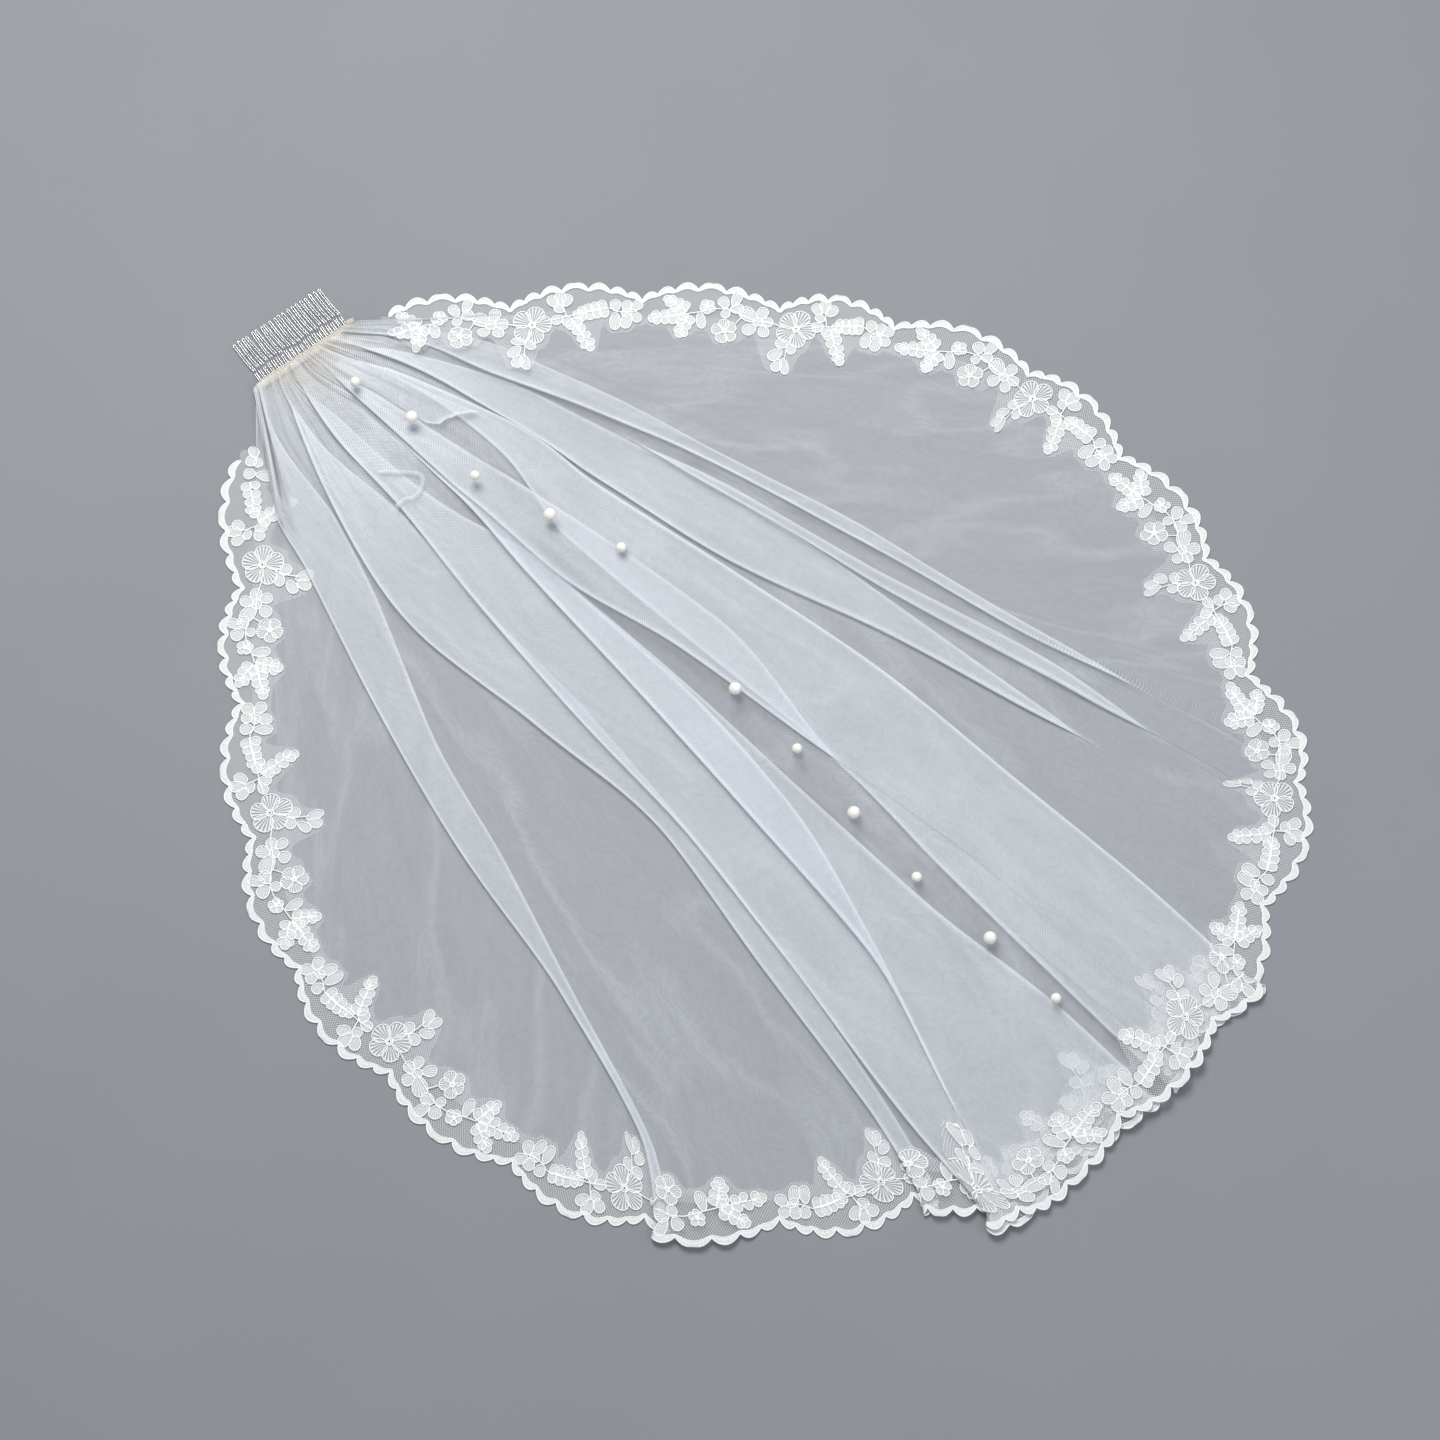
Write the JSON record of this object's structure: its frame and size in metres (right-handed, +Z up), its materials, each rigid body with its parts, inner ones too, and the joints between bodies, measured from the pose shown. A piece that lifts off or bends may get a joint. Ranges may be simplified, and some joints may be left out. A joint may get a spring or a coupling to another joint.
{
  "type": "lace bridal veil on a wire comb",
  "caption": "Single-layer net bridal veil laid flat in pleats, with a scalloped floral lace border, a line of pearls and a wire hair comb.",
  "frame": {"origin": "middle of the veil's bounding box, on the floor that it lies on", "axes": "+X to the right of the laid veil as the picture shows it, +Y away from the viewer, +Z up; the comb lies at -X +Y"},
  "size_m": [0.7948, 0.728, 0.0248],
  "materials": {
    "tulle": "fine white net",
    "lace": "corded floral lace",
    "binding": "cream gathered net and ribbon",
    "wire": "bright plated wire",
    "pearl": "ivory pearl"
  },
  "bodies": {
    "root": {"tulle": "tulle", "lace": "lace", "header": "binding", "comb_spine": "wire", "tooth_01": "wire", "tooth_02": "wire", "tooth_03": "wire", "tooth_04": "wire", "tooth_05": "wire", "tooth_06": "wire", "tooth_07": "wire", "tooth_08": "wire", "tooth_09": "wire", "tooth_10": "wire", "tooth_11": "wire", "tooth_12": "wire", "tooth_13": "wire", "tooth_14": "wire", "tooth_15": "wire", "tooth_16": "wire", "tooth_17": "wire", "tooth_18": "wire", "tooth_19": "wire", "tooth_20": "wire", "pearl_01": "pearl", "pearl_02": "pearl", "pearl_03": "pearl", "pearl_04": "pearl", "pearl_05": "pearl", "pearl_06": "pearl", "pearl_07": "pearl", "pearl_08": "pearl", "pearl_09": "pearl", "pearl_10": "pearl", "pearl_11": "pearl"}
  },
  "joints": []
}
